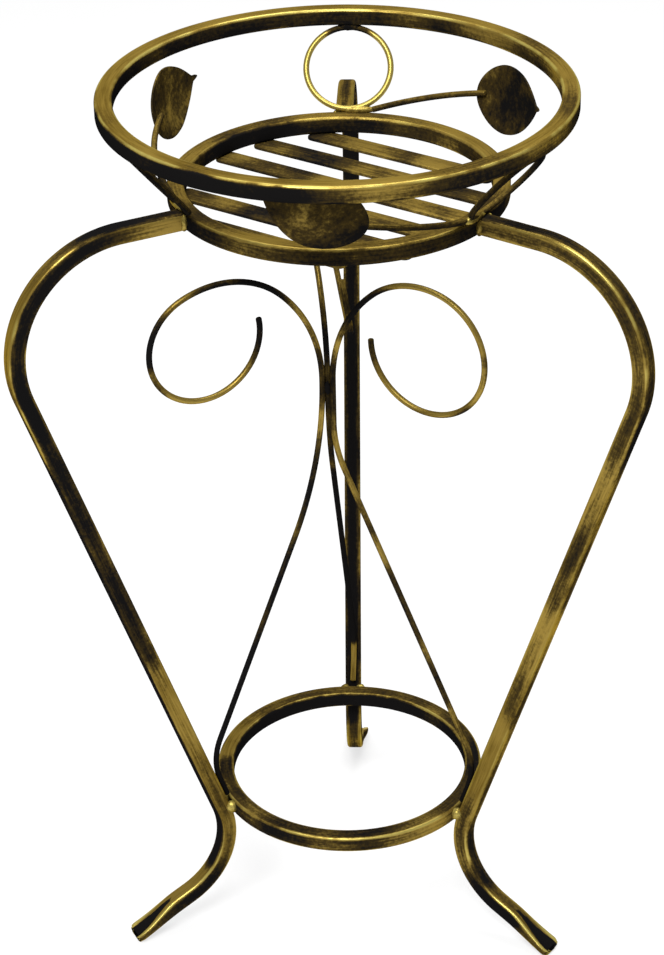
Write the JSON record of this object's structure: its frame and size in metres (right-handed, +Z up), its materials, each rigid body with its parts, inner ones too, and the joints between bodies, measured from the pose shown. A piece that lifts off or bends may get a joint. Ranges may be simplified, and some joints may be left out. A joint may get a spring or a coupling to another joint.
{
  "type": "plant stand",
  "caption": "Free-standing wrought-look plant stand: rim ring, slatted seat ring and lower ring on three bowed tube legs, with wire scrolls, circles and sheet leaves, in antique gold.",
  "frame": {"origin": "middle of the stand's footprint on the floor, under the middle of its bounding box", "axes": "+Z up through the rings' common upright direction; -Y towards the viewer in the picture, +Y towards the back leg; +X to the viewer's right"},
  "size_m": [0.348, 0.333, 0.53],
  "materials": {
    "antique_gold_finish": "dry-brushed antique gold over black lacquer on steel, semi-gloss",
    "dark_leaf_finish": "black-brown lacquer with gold smudges on sheet steel, semi-gloss",
    "weld_bead_finish": "glossy gold-painted weld beads on steel"
  },
  "bodies": {
    "root": {"rim_ring": "antique_gold_finish", "seat_ring": "antique_gold_finish", "lower_ring": "antique_gold_finish", "right_leg": "antique_gold_finish", "left_leg": "antique_gold_finish", "back_leg": "antique_gold_finish", "slat_1": "antique_gold_finish", "slat_2": "antique_gold_finish", "slat_3": "antique_gold_finish", "slat_4": "antique_gold_finish", "slat_5": "antique_gold_finish", "slat_6": "antique_gold_finish", "right_scroll": "antique_gold_finish", "left_scroll": "antique_gold_finish", "back_scroll": "antique_gold_finish", "right_circle": "antique_gold_finish", "left_circle": "antique_gold_finish", "back_circle": "antique_gold_finish", "right_stem": "antique_gold_finish", "left_stem": "antique_gold_finish", "back_stem": "antique_gold_finish", "front_leaf": "dark_leaf_finish", "left_leaf": "dark_leaf_finish", "right_leaf": "dark_leaf_finish", "seat_ring_welds": "weld_bead_finish", "lower_ring_welds": "weld_bead_finish", "circle_foot_welds": "weld_bead_finish", "circle_head_welds": "weld_bead_finish", "throat_weld": "weld_bead_finish"}
  },
  "joints": []
}
